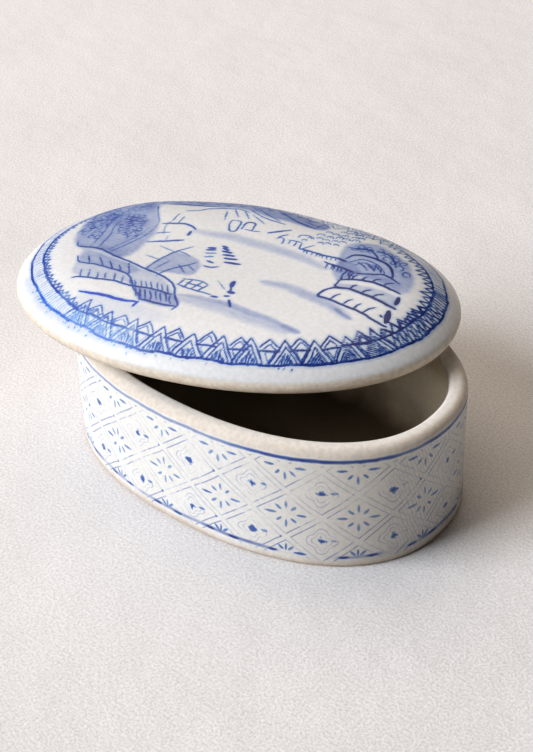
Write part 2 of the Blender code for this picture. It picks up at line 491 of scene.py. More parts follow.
def crown_share(x, y):
    """Which ring of the crown each point lies on, found by halving the range 36 times.

    A ring's half width is w (1 - s) and its half length is that plus (l - w) (1 - s^3).
    """
    low = np.zeros_like(x)
    high = np.ones_like(x)
    for _ in range(36):
        share = (low + high) / 2
        half_width = CROWN_HALF_WIDTH * (1 - share)
        half_length = half_width + (LID_HALF_LENGTH - LID_HALF_WIDTH) * (1 - share ** 3)
        outside = (np.abs(x) / half_length) ** LID_OVAL_POWER + (np.abs(y) / half_width) ** LID_OVAL_POWER > 1
        high = np.where(outside, share, high)
        low = np.where(outside, low, share)
    return low


def even_oval_grid(steps):
    """A square grid bent to fill the crown's oval evenly, as turn and reach.

    The square's own rings become the oval's rings: reach is the larger of |a| and |b|, and the
    turn is an eighth of a circle times the smaller over the larger, from the nearest axis.
    """
    a, b = np.meshgrid(np.linspace(-1, 1, steps + 1), np.linspace(-1, 1, steps + 1), indexing="ij")
    wide = np.abs(a) >= np.abs(b)
    larger = np.where(wide, a, b)
    smaller = np.where(wide, b, a)
    lean = np.pi / 4 * smaller / np.where(larger == 0, 1, larger)
    turn = np.where(wide, lean, np.pi / 2 - lean) + np.where(larger < 0, np.pi, 0)
    return turn, np.abs(larger)


def lid_section():
    """Roll, ledge, ring, hollow and ceiling: (x inset, y inset, height) under the crown's edge."""
    ring_bottom = -EDGE_ROLL - RING_DEPTH
    fillet_top = crown_height(HOLLOW_EDGE_SHARE) - SHELL
    ring_inset = (LID_HALF_LENGTH - RING_HALF_LENGTH, LID_HALF_WIDTH - RING_HALF_WIDTH)
    ring = np.vstack([
        [(0.0, -EDGE_ROLL)],
        corner(RING_ROUND, ring_bottom + RING_ROUND, RING_ROUND, 0, -90, 4),
        corner(RING_WALL - RING_ROUND, ring_bottom + RING_ROUND, RING_ROUND, -90, -180, 4),
        corner(RING_WALL + RING_FILLET, fillet_top - RING_FILLET, RING_FILLET, 0, 90, 6),
    ])
    roll = corner(EDGE_ROLL, 0.0, EDGE_ROLL, 30, -90, 8)
    roll = np.stack([roll[:, 0], roll[:, 0], roll[:, 1]], axis=1)
    ring = np.stack([ring[:, 0] + ring_inset[0], ring[:, 0] + ring_inset[1], ring[:, 1]], axis=1)
    return np.vstack([roll, ring]), fillet_top


def place_lid(points):
    """Turn the lid's own points and set them down where the lid stands."""
    cos, sin = math.cos(LID_TURN), math.sin(LID_TURN)
    x = points[:, 0] * cos - points[:, 1] * sin + LID_CENTRE[0]
    y = points[:, 0] * sin + points[:, 1] * cos + LID_CENTRE[1]
    return np.stack([x, y, points[:, 2] + ROLL_HEIGHT], axis=1)


def make_lid():
    """The crown is an even grid lifted to the crown's height; rings carry on from its edge.

    It warped a little in the kiln: two low bulges and a dip along the back, each a bell curve.
    """
    turn, reach = even_oval_grid(CROWN_STEPS)
    rim_x, rim_y = oval(CROWN_HALF_LENGTH, CROWN_HALF_WIDTH, LID_OVAL_POWER, turn)
    x, y = rim_x * reach, rim_y * reach
    height = crown_height(crown_share(x, y) * (reach < 1))
    waves = 2 + np.sin(0.11 * x + 0.5) + np.sin(0.16 * y - 0.08 * x)
    height = height - CROWN_WAVE * waves * (1 - reach ** 6)
    for rise, at_x, at_y, half_x, half_y in KILN_WARP:
        bell = np.exp(-((x - at_x) / half_x) ** 2 - ((y - at_y) / half_y) ** 2)
        height = height + rise * bell * (1 - reach ** 14)
    crown = np.stack([x, y, height], axis=2).reshape(-1, 3)
    number = np.arange((CROWN_STEPS + 1) ** 2).reshape(CROWN_STEPS + 1, CROWN_STEPS + 1)
    crown_quads = np.stack([number[:-1, :-1], number[1:, :-1], number[1:, 1:], number[:-1, 1:]], axis=2)
    edge = np.concatenate([number[-1, :-1], number[:0:-1, -1], number[0, :0:-1], number[:-1, 0]])
    edge_turn = turn.ravel()[edge][None, :]
    sides = len(edge)

    section, ceiling = lid_section()
    half_length = LID_HALF_LENGTH - section[:, :1]
    half_width = LID_HALF_WIDTH - section[:, 1:2]
    last_length, last_width = half_length[-1:], half_width[-1:]
    shares = np.array([[0.72], [0.36]])
    half_length = np.vstack([half_length, last_length * shares])
    half_width = np.vstack([half_width, last_width * shares])
    level = np.append(section[:, 2], [ceiling + 0.5, ceiling + 0.8])[:, None]
    ring_x, ring_y = oval(half_length, half_width, LID_OVAL_POWER, edge_turn)
    rings = np.stack([ring_x, ring_y, np.broadcast_to(level, ring_x.shape)], axis=2).reshape(-1, 3)
    points = np.vstack([crown, rings, [[0, 0, ceiling + 0.9]]])
    first = len(crown)
    rows = len(level)
    this = np.arange(sides)
    after = (this + 1) % sides
    join = np.stack([edge[this], first + this, first + after, edge[after]], axis=1)
    down = ring_faces(rows, sides, first)[:, ::-1]
    last = first + (rows - 1) * sides
    pole = np.stack([np.full(sides, len(points) - 1), last + after, last + this], axis=1)
    quads = np.vstack([crown_quads.reshape(-1, 4), join, down])
    piece = make_skin("painted_lid", place_lid(points), quads, pole)
    below = np.concatenate([np.zeros(len(crown)), np.repeat(np.arange(rows) + 1.0, sides), [rows + 1.0]])
    return piece, points, len(crown), below


lid, lid_points, crown_count, lid_rows = make_lid()

# The painting works on the crown in the lid's own millimetres: across and deep from its middle.
crown_x, crown_y = lid_points[:crown_count, :2].T
canvas_x = crown_x + 0.12 * np.sin(0.7 * crown_y + 0.4) + 0.04 * np.sin(2.1 * crown_y + 0.7 * crown_x)
canvas_y = crown_y + 0.12 * np.sin(0.6 * crown_x + 1.1) + 0.04 * np.sin(1.9 * crown_x - 0.6 * crown_y)
NO_STROKE = 3.0
STROKE_REACH = 2.5
WASH_REACH = 2.0
stroke_gap = np.full(crown_count, NO_STROKE)
stroke_load = np.zeros(crown_count)
wash_depth = np.zeros(crown_count)
hand = np.random.default_rng(11)


def flowing(points, per_span=6):
    """A smooth line through points: a Catmull-Rom curve with straight ends."""
    points = np.asarray(points, dtype=float)
    if len(points) == 2:
        return points
    before, after = 2 * points[0] - points[1], 2 * points[-1] - points[-2]
    padded = np.vstack([before, points, after])
    t = np.linspace(0, 1, per_span, endpoint=False)[:, None]
    spans = []
    for a, b, c, d in zip(padded, padded[1:], padded[2:], padded[3:]):
        bend = (2 * a - 5 * b + 4 * c - d) * t ** 2 + (3 * b - a - 3 * c + d) * t ** 3
        spans.append(0.5 * (2 * b + (c - a) * t + bend))
    return np.vstack(spans + [points[-1:]])


def near(line, margin):
    """The crown's points inside the box round a line, widened by a margin."""
    low, high = line.min(axis=0) - margin, line.max(axis=0) + margin
    wide = (canvas_x > low[0]) & (canvas_x < high[0])
    return np.flatnonzero(wide & (canvas_y > low[1]) & (canvas_y < high[1]))


def off_line(line, chosen):
    """For each chosen point: its distance to every side of a line, and how far along it is nearest."""
    start, side = line[:-1], np.diff(line, axis=0)
    length = np.hypot(side[:, 0], side[:, 1])
    dx = canvas_x[chosen, None] - start[:, 0]
    dy = canvas_y[chosen, None] - start[:, 1]
    share = np.clip((dx * side[:, 0] + dy * side[:, 1]) / length ** 2, 0, 1)
    distance = np.hypot(dx - share * side[:, 0], dy - share * side[:, 1])
    along = (np.cumsum(length) - length + share * length) / length.sum()
    return distance, along


def brush(points, width=0.55, load=0.8, swell=1.0, tip=0.4):
    """One stroke of a loaded brush along a smooth line.

    The brush is pressed to four fifths of its width, and from tip to full to tip as the square
    root of a half sine. A swell above 1 puts the fullest place nearer the end, and one below 1
    nearer the start. Where strokes meet, the one whose edge is nearer gives the load.
    """
    line = flowing(points)
    chosen = near(line, STROKE_REACH)
    distance, along = off_line(line, chosen)
    fullness = np.sqrt(np.clip(np.sin(np.pi * along ** swell), 0, 1))
    gap = distance - 0.4 * width * (tip + (1 - tip) * fullness)
    best = gap.argmin(axis=1)
    gap = gap[np.arange(len(chosen)), best]
    closer = gap < stroke_gap[chosen]
    stroke_gap[chosen[closer]] = gap[closer]
    stroke_load[chosen[closer]] = load


def soft_step(value):
    """0 below 0, 1 above 1, and a smooth cubic between."""
    value = np.clip(value, 0, 1)
    return value * value * (3 - 2 * value)


def sweep(points, width, load, soft=0.9, tip=0.3):
    """One broad stroke of thin wash, with soft sides."""
    line = flowing(points)
    chosen = near(line, width)
    distance, along = off_line(line, chosen)
    fullness = np.sqrt(np.clip(np.sin(np.pi * along), 0, 1))
    depth = (width / 2 * (tip + (1 - tip) * fullness) - distance).max(axis=1)
    add_wash(chosen, load * soft_step(0.5 + depth / soft))


def wash(points, load, soft=1.5):
    """A patch of thin wash inside a smooth outline, a little deeper where it pools at the edge."""
    line = flowing(list(points) + [points[0]])
    chosen = near(line, WASH_REACH)
    distance, _ = off_line(line, chosen)
    distance = distance.min(axis=1)
    depth = np.where(is_inside(line, canvas_x[chosen], canvas_y[chosen]), distance, -distance)
    pooled = 1 + 0.25 * np.exp(-np.abs(depth - 0.5) / 0.5)
    add_wash(chosen, load * pooled * soft_step(0.5 + depth / soft))


def is_inside(outline, x, y):
    """Even-odd rule: a level ray from a point inside crosses the outline an odd number of times."""
    crossings = 0
    for (x1, y1), (x2, y2) in zip(outline, np.roll(outline, -1, axis=0)):
        if y1 != y2:
            crosses = (y1 > y) != (y2 > y)
            crossings = crossings + (crosses & (x < (x2 - x1) * (y - y1) / (y2 - y1) + x1))
    return crossings % 2 == 1


def add_wash(chosen, depth):
    """Lay a wash over what is there: each layer takes its share of the white that is left."""
    wash_depth[chosen] += (1 - wash_depth[chosen]) * np.clip(depth, 0, 1)


def ticks(start, end, count, lean, width=0.45, load=0.7):
    """A row of short strokes that start along a straight line and all lean one way."""
    for share in (np.arange(count) + 0.5) / count:
        foot = np.array(start) * (1 - share) + np.array(end) * share + hand.normal(0, 0.12, 2)
        tip = foot + np.array(lean) * hand.uniform(0.85, 1.15)
        brush([foot, (foot + tip) / 2 + hand.normal(0, 0.1, 2), tip], width, load, swell=0.7)


def scattered(outline, pitch, row_pitch, start, stagger, spread):
    """Places in rows over an outline, each a little off, and whether each is inside it."""
    low, high = np.min(outline, axis=0), np.max(outline, axis=0)
    for row, y in enumerate(np.arange(low[1] + pitch * start[1], high[1], pitch * row_pitch)):
        for x in np.arange(low[0] + pitch * (start[0] + stagger * (row % 2)), high[0], pitch):
            middle = np.array([x, y]) + hand.normal(0, spread, 2)
            yield middle, is_inside(outline, *middle)


def arc(middle, first, last, count, radius, stretch=1.0):
    """Points on a part of a circle, from one angle to another, stretched in y."""
    angle = np.radians(np.linspace(first, last, count))
    return middle + radius * np.stack([np.cos(angle), stretch * np.sin(angle)], axis=1)


def scallops(outline, pitch, radius, load, width=0.38):
    """Rows of small arches, staggered like scales, wherever they fall inside an outline."""
    for middle, inside in scattered(outline, pitch, 0.9, (0.4, 0.6), 0.5, 0.22):
        size = radius * hand.uniform(0.8, 1.15)
        if inside:
            brush(arc(middle, -15, 195, 7, size), width, load * hand.uniform(0.7, 1.15))
            brush([middle, middle + (0.05, 0.3)], width * 1.1, load * hand.uniform(0.4, 1.0))


def curls(outline, pitch, radius, load):
    """A thicket of small open loops, a little apart, wherever they fall inside an outline."""
    for middle, inside in scattered(outline, pitch, 0.85, (0.3, 0.3), 0.0, 0.3 * radius):
        opening = hand.uniform(0, 360)
        if inside:
            closing = opening + hand.uniform(230, 340)
            loop = arc(middle, opening, closing, 6, radius * hand.uniform(0.6, 1.2), 1.2)
            brush(loop, 0.36, load * hand.uniform(0.5, 1.2))


def strokes(width, load, *lines):
    """Several strokes of the same brush with the same load."""
    for line in lines:
        brush(line, width, load)


# The left clump of trees: a thin wash, curls of leaves, a leaning trunk and a dark right side.
wash([(-45.5, 12), (-45, 4), (-42, -2.5), (-34, -3.8), (-28.5, -5), (-26, -1), (-25.2, 5), (-25, 10),
      (-27, 15), (-29, 20), (-31, 25), (-36, 28), (-41, 26), (-44.5, 19)], 0.31, soft=2.4)
sweep([(-38.5, 12.5), (-34, 12.3), (-30, 12)], 7, 0.20, soft=3)
sweep([(-30, 22), (-34, 23), (-38, 23)], 8, 0.12, soft=3)
sweep([(-36, -2), (-32, -3), (-29, -4)], 4, 0.12, soft=2)
curls([(-45, 3), (-38.5, 2), (-38, 12), (-38, 19), (-42, 19), (-45, 12)], 1.9, 0.72, 0.62)
curls([(-35, 5), (-29, 4), (-28, 11), (-31, 16), (-35, 16)], 1.7, 0.62, 0.68)
curls([(-36, 17), (-30, 17), (-31, 23), (-36, 24)], 2.1, 0.70, 0.40)
brush([(-38.7, -2.6), (-38, 3), (-38.3, 9), (-37, 16), (-35, 21)], 0.42, 0.42)
brush([(-36.5, -2.8), (-35.8, 3), (-36.5, 8), (-35.6, 12)], 0.42, 0.50)
brush([(-35.5, 12.5), (-32, 12.2), (-29.6, 12.8)], 0.42, 0.55)
for lean_line in range(7):
    start = np.array([-44.5 + 1.4 * lean_line, 13.0 + 1.3 * lean_line])
    brush([start, start + (1.8, -3.5), start + (2.6, -7.0)], 0.34, 0.26)
brush([(-29, 21), (-27.6, 17), (-25.8, 13), (-25.6, 10)], 0.5, 0.62, swell=0.8)
brush([(-25.6, 10), (-27.5, 5), (-30, 0.5), (-32.5, -3.2)], 0.42, 0.50)
brush([(-27, 10), (-29, 5), (-31.3, 0.8), (-33.6, -2.6)], 0.36, 0.36)
brush([(-43, 0), (-42, -2.4), (-38, -2.6), (-34, -3.3)], 0.50, 0.6)

# The near bank: the hill line, two lines of bank below it, each fringed with grass.
brush([(-41.5, -2.6), (-36, -2.7), (-34, -3.4), (-30, -5), (-26, -6.5), (-20, -8.7), (-16, -10.3),
       (-12, -12.5), (-10, -14.5), (-9, -16.5), (-8, -19), (-6.5, -21.5), (-7, -23.5)], 0.7, 0.72, tip=0.7)
brush([(-39.8, -7), (-38, -9.8), (-33, -10), (-29, -10.8), (-25, -11.9), (-23.3, -12.7), (-22, -14),
       (-20.5, -16), (-19.5, -18), (-17.5, -20), (-16.5, -22)], 0.6, 0.66, tip=0.6)
brush([(-37, -16.5), (-34, -15.9), (-26, -16), (-22, -16.7), (-15, -17), (-9.5, -17.8)], 0.75, 0.85, tip=0.6)
for foot, tip in (((-37, -6.5), (-35.3, -9.7)), ((-34, -6.2), (-31.5, -9.8)), ((-30.5, -7.5), (-28.5, -10.7)),
                  ((-27.5, -8.8), (-26, -11.4)), ((-25.3, -7.5), (-23.3, -12.6))):
    brush([foot, tip], 0.5, 0.62, swell=1.3)
ticks((-36, -16.2), (-20, -16.2), 7, (-1.2, 3.1), 0.45, 0.62)
ticks((-20, -16.8), (-9.5, -17.6), 7, (-1.6, 3.0), 0.42, 0.55)
ticks((-20, -17.4), (-9, -18.2), 8, (1.4, -3.4), 0.50, 0.72)
brush([(-16.5, -21.7), (-12, -22.1), (-7, -22.2)], 0.9, 0.8)
wash([(-38, -4), (-30, -6), (-24, -8), (-16, -11), (-10, -16), (-7, -22), (-16, -22), (-19, -18),
      (-24, -15.5), (-37, -15), (-39, -9)], 0.13)
wash([(-40, -3.5), (-30, -6), (-22, -9), (-24, -12), (-31, -10.5), (-38, -9.5)], 0.15)
wash([(-20, -17), (-9, -17.5), (-7, -22.5), (-16.5, -22)], 0.20)
STREAK = [(-33, -21.3), (-28, -21.8), (-22, -22.7), (-16.3, -22.9)]
brush(STREAK, 1.10, 1.25, tip=0.3)
brush([(-16.3, -22.7), (-16.6, -23.6), (-16.9, -24.6)], 0.8, 1.0)
sweep([(-32, -24), (-20, -26), (-8, -26.5)], 6, 0.07, soft=4)

# The fan of reeds in the middle of the bank, and the little bridge and its rails behind it.
brush([(-12.8, 4.8), (-16, 1.2), (-17.5, -1), (-19, -4), (-20, -8.5)], 0.55, 0.66)
strokes(0.4, 0.42, [(-21, 2.8), (-18.6, 2.0), (-16.5, 1.1)], [(-23, -2.5), (-21, -2.8), (-19, -3.3)],
        [(-11, -3.5), (-9.5, -4.8), (-8, -6)], [(-22, 19), (-22.6, 16), (-23, 13.5)],
        [(-20.3, 18), (-20.7, 16), (-21, 14.5)], [(-21, 8), (-21, 5.5)])
strokes(0.45, 0.5, [(-16, 1.8), (-13.5, 1.1), (-11.5, 0.2)], [(-13, -4.5), (-11.5, -6), (-10, -7.5)],
        [(-16, -3.5), (-17, -5.7), (-18, -8)], [(-23.5, 14), (-23.1, 11), (-22.5, 8.5)],
        [(-24.5, 8), (-22.8, 9), (-21, 9.7)])
brush([(-9, -1.8), (-11, -4), (-13.5, -6.5), (-15.5, -9), (-16.5, -11)], 0.5, 0.62)
wash([(-16, 1), (-10, 0), (-7.5, -4), (-8, -8), (-12, -8.5), (-20, -9), (-19, -4)], 0.22, soft=1.4)
brush([(-24.5, 12.8), (-20, 14.5), (-17.5, 14.3), (-15.2, 12.8)], 0.85, 0.72, swell=1.6)
brush([(-16, 11.4), (-16, 9.7)], 0.95, 0.85, tip=0.8)
brush([(-25, 3.5), (-21, 5.3), (-16.5, 7.1)], 0.8, 0.72, swell=1.8)

# The far shore: soft hills with their slopes ticked in, and two small houses.
wash([(-30, 23), (-20, 25), (-10, 28), (0, 26), (8, 25), (16, 24), (16, 29), (8, 31), (-4, 33),
      (-16, 33), (-27, 31)], 0.36, soft=2.2)
brush([(-27, 23), (-22, 24.8), (-14, 26.5), (-11, 28)], 0.6, 0.5)
brush([(-21, 21), (-18, 22.5), (-15.5, 24.5), (-9, 27.2), (-5, 26)], 0.55, 0.5)
brush([(-5, 27.5), (-1, 25), (6, 23)], 0.55, 0.52)
strokes(0.5, 0.46, [(-3, 29), (0.5, 26.5), (4, 24.3)], [(-9.5, 27), (-7, 22.5)], [(-7, 27), (-4, 22.5)])
brush([(3, 30), (7, 27), (11, 25.3), (14, 24)], 0.65, 0.6)
strokes(0.5, 0.5, [(10, 28), (13, 26.5), (16, 25.8)], [(-11, 24.7), (-9.8, 20.3)],
        [(-3.2, 17), (-1, 17), (1, 17.3)])
brush([(14, 24), (14.4, 26.5), (15.6, 28.4), (16.6, 27), (15.8, 25)], 0.45, 0.5)
brush([(-4, 25), (1, 21.5)], 0.5, 0.42)
brush([(-7.8, 20.5), (-5.2, 20.3), (-5.3, 15.5), (-6.8, 15.3), (-7.7, 18), (-7.8, 20.5)], 0.55, 0.6)
brush([(-4, 16.8), (-3.7, 20), (-2.5, 21), (-1.2, 20.3), (-1.2, 17)], 0.6, 0.66)

# The river: a long wash from the bridge to the right, and birds or boats as short dabs on it.
sweep([(-15, 12), (-5, 12.3), (5, 10.5), (12, 9), (20, 6), (23, 4.6)], 3.4, 0.17, soft=2.4)
for dab_left, dab_right, dab_load in (
        ((-9, 5.6), (-7, 6), 0.8), ((-9, 4.6), (-6.7, 5.1), 0.75), ((-8.5, 3), (-6, 3.5), 0.35),
        ((-8, 1.2), (-6, 1.8), 0.35), ((-6.8, -0.5), (-5, -1.2), 0.6), ((-5.7, 7.3), (-4.2, 6.9), 0.8),
        ((-5.2, 6.3), (-3.5, 5.9), 0.85), ((-4.8, 5), (-2.2, 4.8), 0.9), ((-4, 3.3), (-1, 3.7), 0.85),
        ((-3, 1.8), (0.2, 2.3), 0.95), ((-2.3, 0.1), (1.8, 0.4), 1.0)):
    brush([dab_left, dab_right], 0.95, dab_load, tip=0.5)
brush([(-7, -3), (-5, -3.4), (-3.2, -2.4)], 0.7, 0.6)

# The right shore: rows of fence, bushes, a clump of trees under a wide arch, and rocks.
brush([(3.2, 17.2), (5.5, 18.5), (8.5, 20.6)], 0.8, 0.7, swell=0.6)
brush([(6.3, 15), (7, 16.5), (8.5, 18)], 0.55, 0.66)
strokes(0.5, 0.6, [(6.5, 15.8), (8, 15.6), (8.5, 13)], [(9.5, 15.5), (11.2, 15.5), (13, 15.3)],
        [(13.2, 15), (13.8, 12), (16.5, 14.5)])
strokes(0.45, 0.6, [(10, 15.2), (10, 13.5)], [(11.8, 15.2), (11.7, 13)],
        [(11.5, 17.5), (12, 19), (14, 19.3), (15, 17.8)])
brush([(14, 12), (20, 10.8), (25, 10.3)], 0.7, 0.8, tip=0.7)
ticks((14.5, 11.8), (24.5, 10.3), 9, (0.2, -1.6), 0.4, 0.7)
brush([(21.7, 7.7), (25, 6.5), (30, 5)], 0.7, 0.85, tip=0.7)
ticks((22, 7.4), (29.5, 5.1), 7, (0.3, -2.2), 0.45, 0.8)
scallops([(16, 19), (24, 19), (29.5, 22), (29, 27), (24, 27.5), (20, 24), (16, 24)], 2.3, 0.95, 0.66)
scallops([(12.5, 16.5), (24, 15), (24, 19.5), (13, 20)], 2.2, 0.8, 0.5)
wash([(24.7, 10), (24.5, 17), (29, 20.5), (33, 21), (37, 18), (42, 14), (44.5, 9), (45.5, 4),
      (44.5, 0.5), (38, 2.5), (32, 4.5), (27, 4)], 0.27, soft=2.2)
wash([(25, 10), (25, 4), (26.5, 1.5), (28, 0), (31, 3.5), (32, 5), (29, 9)], 0.22)
strokes(0.9, 0.85, [(26.5, 10.5), (28, 13), (31, 13.7), (34, 13), (37, 11.5), (39, 9), (40, 5)],
        [(25, 10), (27, 9.3)])
strokes(0.6, 0.66, [(25.5, 16.5), (28, 16.5), (31, 17), (33, 15), (34.5, 12.8)],
        [(33.5, 17), (36, 16.5), (38, 14), (39.5, 11)])
brush([(28, 9.2), (30.5, 11.6), (33.5, 11.2), (36, 9.2), (37.6, 6.6)], 0.40, 0.62)
brush([(29.5, 8.4), (31.5, 10.2), (33.8, 9.4), (35.4, 7.2)], 0.36, 0.50)
curls([(27, 14.5), (33, 16), (38, 13), (41.5, 9), (43.5, 8), (42, 14), (37, 18), (30, 19.5), (26, 18)],
      2.3, 1.0, 0.66)
strokes(0.5, 0.66, [(30, 10), (32, 8.5), (33, 7)], [(32, 10.2), (34.2, 8), (34.8, 7)],
        [(34, 10.3), (36, 8), (36.7, 6.8)])
brush([(31, 4.7), (35, 5.5), (38, 6), (42.5, 3.9)], 0.7, 0.8)
brush([(28, 0.3), (31, 1.7), (35, 2), (39, 1.2), (43.7, -0.2)], 1.0, 0.92, swell=1.5)
for foot, tip in (((31, 1.8), (31.5, 4)), ((33.5, 2), (34, 3.8)), ((36, 2), (37.5, 3.8)),
                  ((39, 1.4), (41, 3.5)), ((28.3, 0.5), (28.3, 4.5)), ((30.2, 1), (30.2, 4.5)),
                  ((31.5, -2.5), (32.7, -0.4)), ((34.7, -3.4), (36.6, -1.5)), ((37.7, -4.3), (40, -2.2)),
                  ((28.5, -8.5), (30, -5.6)), ((32, -9.5), (33.6, -6.9)), ((34.8, -10.7), (36.2, -8)),
                  ((37.3, -11.3), (39.8, -8.3))):
    bend = ((foot[0] + tip[0]) / 2 - 0.25, (foot[1] + tip[1]) / 2 + 0.2)
    brush([foot, bend, tip], 0.55, 0.85, swell=0.8)
brush([(28, 0), (27.7, -2.8), (31.5, -2.6), (35, -3.8), (39, -5), (44.5, -6.8)], 1.0, 0.95, swell=1.8)
brush([(30.5, -2.7), (27, -3.8), (25.4, -6), (25.3, -8), (28, -8.6), (32, -9.8), (37, -11.5), (40, -12.8),
       (44, -13.8)], 0.85, 0.9, tip=0.6)
brush([(43.7, -1.9), (43.9, -5.1)], 1.3, 1.1, tip=0.5)
brush([(43.2, -8.2), (43.4, -12.4)], 1.8, 1.1, tip=0.5)
brush([(41.6, -10.6), (41.9, -10.9)], 0.8, 1.0, tip=0.8)
wash([(27, -3.5), (33, -3.6), (40, -5.5), (44, -7), (43, -2), (36, -0.5), (29, -1)], 0.16)
wash([(29, 1), (36, 2.4), (43, 0.5), (42.5, 3.5), (36, 5.2), (29, 4.4)], 0.16)

# The near water: three streaks of wash, and a small landing with its posts.
sweep([(10, -5.7), (17, -6.5), (24, -8.9), (30, -11.6), (35, -14.5)], 3.0, 0.24, soft=2.2)
sweep([(30.5, -11.8), (33, -13.4), (35.5, -14.8)], 1.1, 0.30, soft=0.7)
sweep([(-8, -17.4), (0, -17.2), (7, -18.2), (13, -19.7), (20, -21.6), (25, -23.2)], 1.8, 0.20, soft=1.2)
sweep([(-7, -18.8), (2, -19.2), (10, -20.6), (22, -23.6)], 4.2, 0.17, soft=3)
sweep([(20.5, -21.9), (23.5, -22.8), (25.5, -23.4)], 1.8, 0.22, soft=1.0)
brush([(3.3, -8.0), (3.3, -10.4)], 1.6, 0.9, tip=0.6)
brush([(3.4, -12.6), (4.9, -13.0)], 1.5, 0.85, tip=0.5)
strokes(0.9, 0.8, [(3.2, -14.6), (4.4, -14.6)], [(0.1, -15.6), (1.9, -15.6)])
brush([(3.3, -10.4), (3.9, -12.6)], 0.7, 0.7)
brush([(-0.8, -8.5), (0.8, -10.3), (2.2, -12)], 0.4, 0.4)
brush([(5, -16), (5.6, -17.4), (6.2, -18.8)], 0.9, 0.9, swell=0.7)
brush([(-9.5, -10.2), (-5, -10.2), (-2.3, -11.3)], 0.5, 0.66)
brush([(-10, -13), (-5, -14.5), (0, -15)], 0.55, 0.7)
strokes(0.6, 0.6, [(-9, -10.5), (-9.8, -13)], [(-7, -10), (-8, -14)], [(-4.2, -10.5), (-6, -14.3)],
        [(-2.5, -11.3), (-4, -14.7)], [(-8.2, -11.7), (-3.4, -12.8)])

# The border: an outer line, an inner line, and two rows of chevrons, the near over the far.
LINE_INSET = 3.5
INNER_LINE_INSET = 6.9
NEAR_PEAK = 9.8
FAR_PEAK = 10.5
CHEVRONS = 37
STROKE_LENGTH = 9
STROKE_OVERLAP = 0.6

EDGE_TURN = np.linspace(0, 2 * np.pi, 4001)
edge_x, edge_y = oval(LID_HALF_LENGTH, LID_HALF_WIDTH, LID_OVAL_POWER, EDGE_TURN)
edge_length = running_length(edge_x[:-1], edge_y[:-1])
LENGTH_ROUND = edge_length[-1]
half_pitch = LENGTH_ROUND / CHEVRONS / 2


def border(length, inset):
    """A point so many millimetres round the lid's edge from its right end, and so far in from it."""
    length = np.asarray(length, dtype=float) % LENGTH_ROUND
    x, y = np.interp(length, edge_length, edge_x), np.interp(length, edge_length, edge_y)
    ahead = (length + 0.5) % LENGTH_ROUND
    along_x = np.interp(ahead, edge_length, edge_x) - x
    along_y = np.interp(ahead, edge_length, edge_y) - y
    scale = np.asarray(inset) / np.hypot(along_x, along_y)
    return np.stack([x - along_y * scale, y + along_x * scale], axis=-1)


def round_the_edge(length):
    """The same place round the edge, counted from the right end and negative in front."""
    return (np.asarray(length, dtype=float) + LENGTH_ROUND / 2) % LENGTH_ROUND - LENGTH_ROUND / 2


def left_shift(length):
    """How much further in the border lies round the left end."""
    return 0.8 * soft_step((np.abs(round_the_edge(length)) - 112) / 26)


def border_strength(length):
    """How full the brush was at each place round the border: dark in front and right, pale at left."""
    stops = [-156, -140, -125, -110, -92, -80, -55, -20, 8, 22, 36, 60, 110, 128, 142, 156]
    loads = [1.1, 1.15, 1.05, 0.60, 0.60, 1.20, 1.40, 1.50, 1.40, 1.00, 0.50, 0.42, 0.42, 0.60, 1.00, 1.1]
    return float(np.interp(round_the_edge(length), stops, loads))


def border_line(start, end, inset, width, share):
    """A line round the border in short overlapping strokes, as a brush is reloaded."""
    count = max(1, int(round((end - start) / STROKE_LENGTH)))
    for step in range(count):
        first = start + (end - start) * step / count - STROKE_OVERLAP
        last = start + (end - start) * (step + 1) / count + STROKE_OVERLAP
        places = np.linspace(first, last, 5)
        drift = inset + left_shift(places) + hand.normal(0, 0.10)
        strength = share * border_strength((first + last) / 2) * hand.uniform(0.75, 1.15)
        brush(border(places, drift), width * hand.uniform(0.85, 1.15), strength, tip=0.6)


def chevron(peak_at, peak, half, foot, width, load):
    """One ^ of the border as two strokes from its foot up to a peak and down again."""
    for side in (-1, 1):
        lengths = np.array([peak_at + side * half, peak_at + side * half * 0.5, peak_at])
        insets = [foot, (foot + peak) / 2 + hand.normal(0, 0.10), peak]
        brush(border(lengths + hand.normal(0, 0.12), insets), width, load * hand.uniform(0.8, 1.15), tip=0.7)


def near_chevron(peak_at, strength):
    """A chevron that stands on the outer line, drawn double, with stems that fill its foot."""
    peak = NEAR_PEAK + hand.normal(0, 0.35)
    half = half_pitch * hand.uniform(0.88, 1.0)
    foot = LINE_INSET + 0.2
    chevron(peak_at, peak, half, foot, 0.42, strength)
    chevron(peak_at, peak - 1.9, half - 1.15, foot, 0.32, strength * 0.85)
    for spread in np.arange(-1.5, 1.6, 0.6) + hand.normal(0, 0.1):
        top = foot + (3.4 - 1.3 * abs(spread)) * hand.uniform(0.6, 1.15)
        stem = border([peak_at + spread * 1.2, peak_at + spread * 0.8], [foot, top])
        brush(stem, 0.30, strength * hand.uniform(0.5, 1.2))


def far_chevron(peak_at, strength):
    """A chevron that looks out between two near ones, above a level line and a slanted lattice."""
    peak = FAR_PEAK + hand.normal(0, 0.35)
    chevron(peak_at, peak, half_pitch * 0.62, INNER_LINE_INSET + 0.9, 0.42, strength)
    chevron(peak_at, peak - 1.3, half_pitch * 0.42, INNER_LINE_INSET + 0.5, 0.30, strength * 0.75)
    level = border(peak_at + half_pitch * np.array([-0.62, 0.0, 0.62]), np.full(3, INNER_LINE_INSET))
    brush(level, 0.48, strength * hand.uniform(0.9, 1.2), tip=0.7)
    for side in (-1, 1):
        ends = [LINE_INSET + 0.3, INNER_LINE_INSET - 0.1]
        slant = border([peak_at + side * 0.3, peak_at - side * 1.5], ends)
        brush(slant, 0.32, strength * hand.uniform(0.2, 0.7))


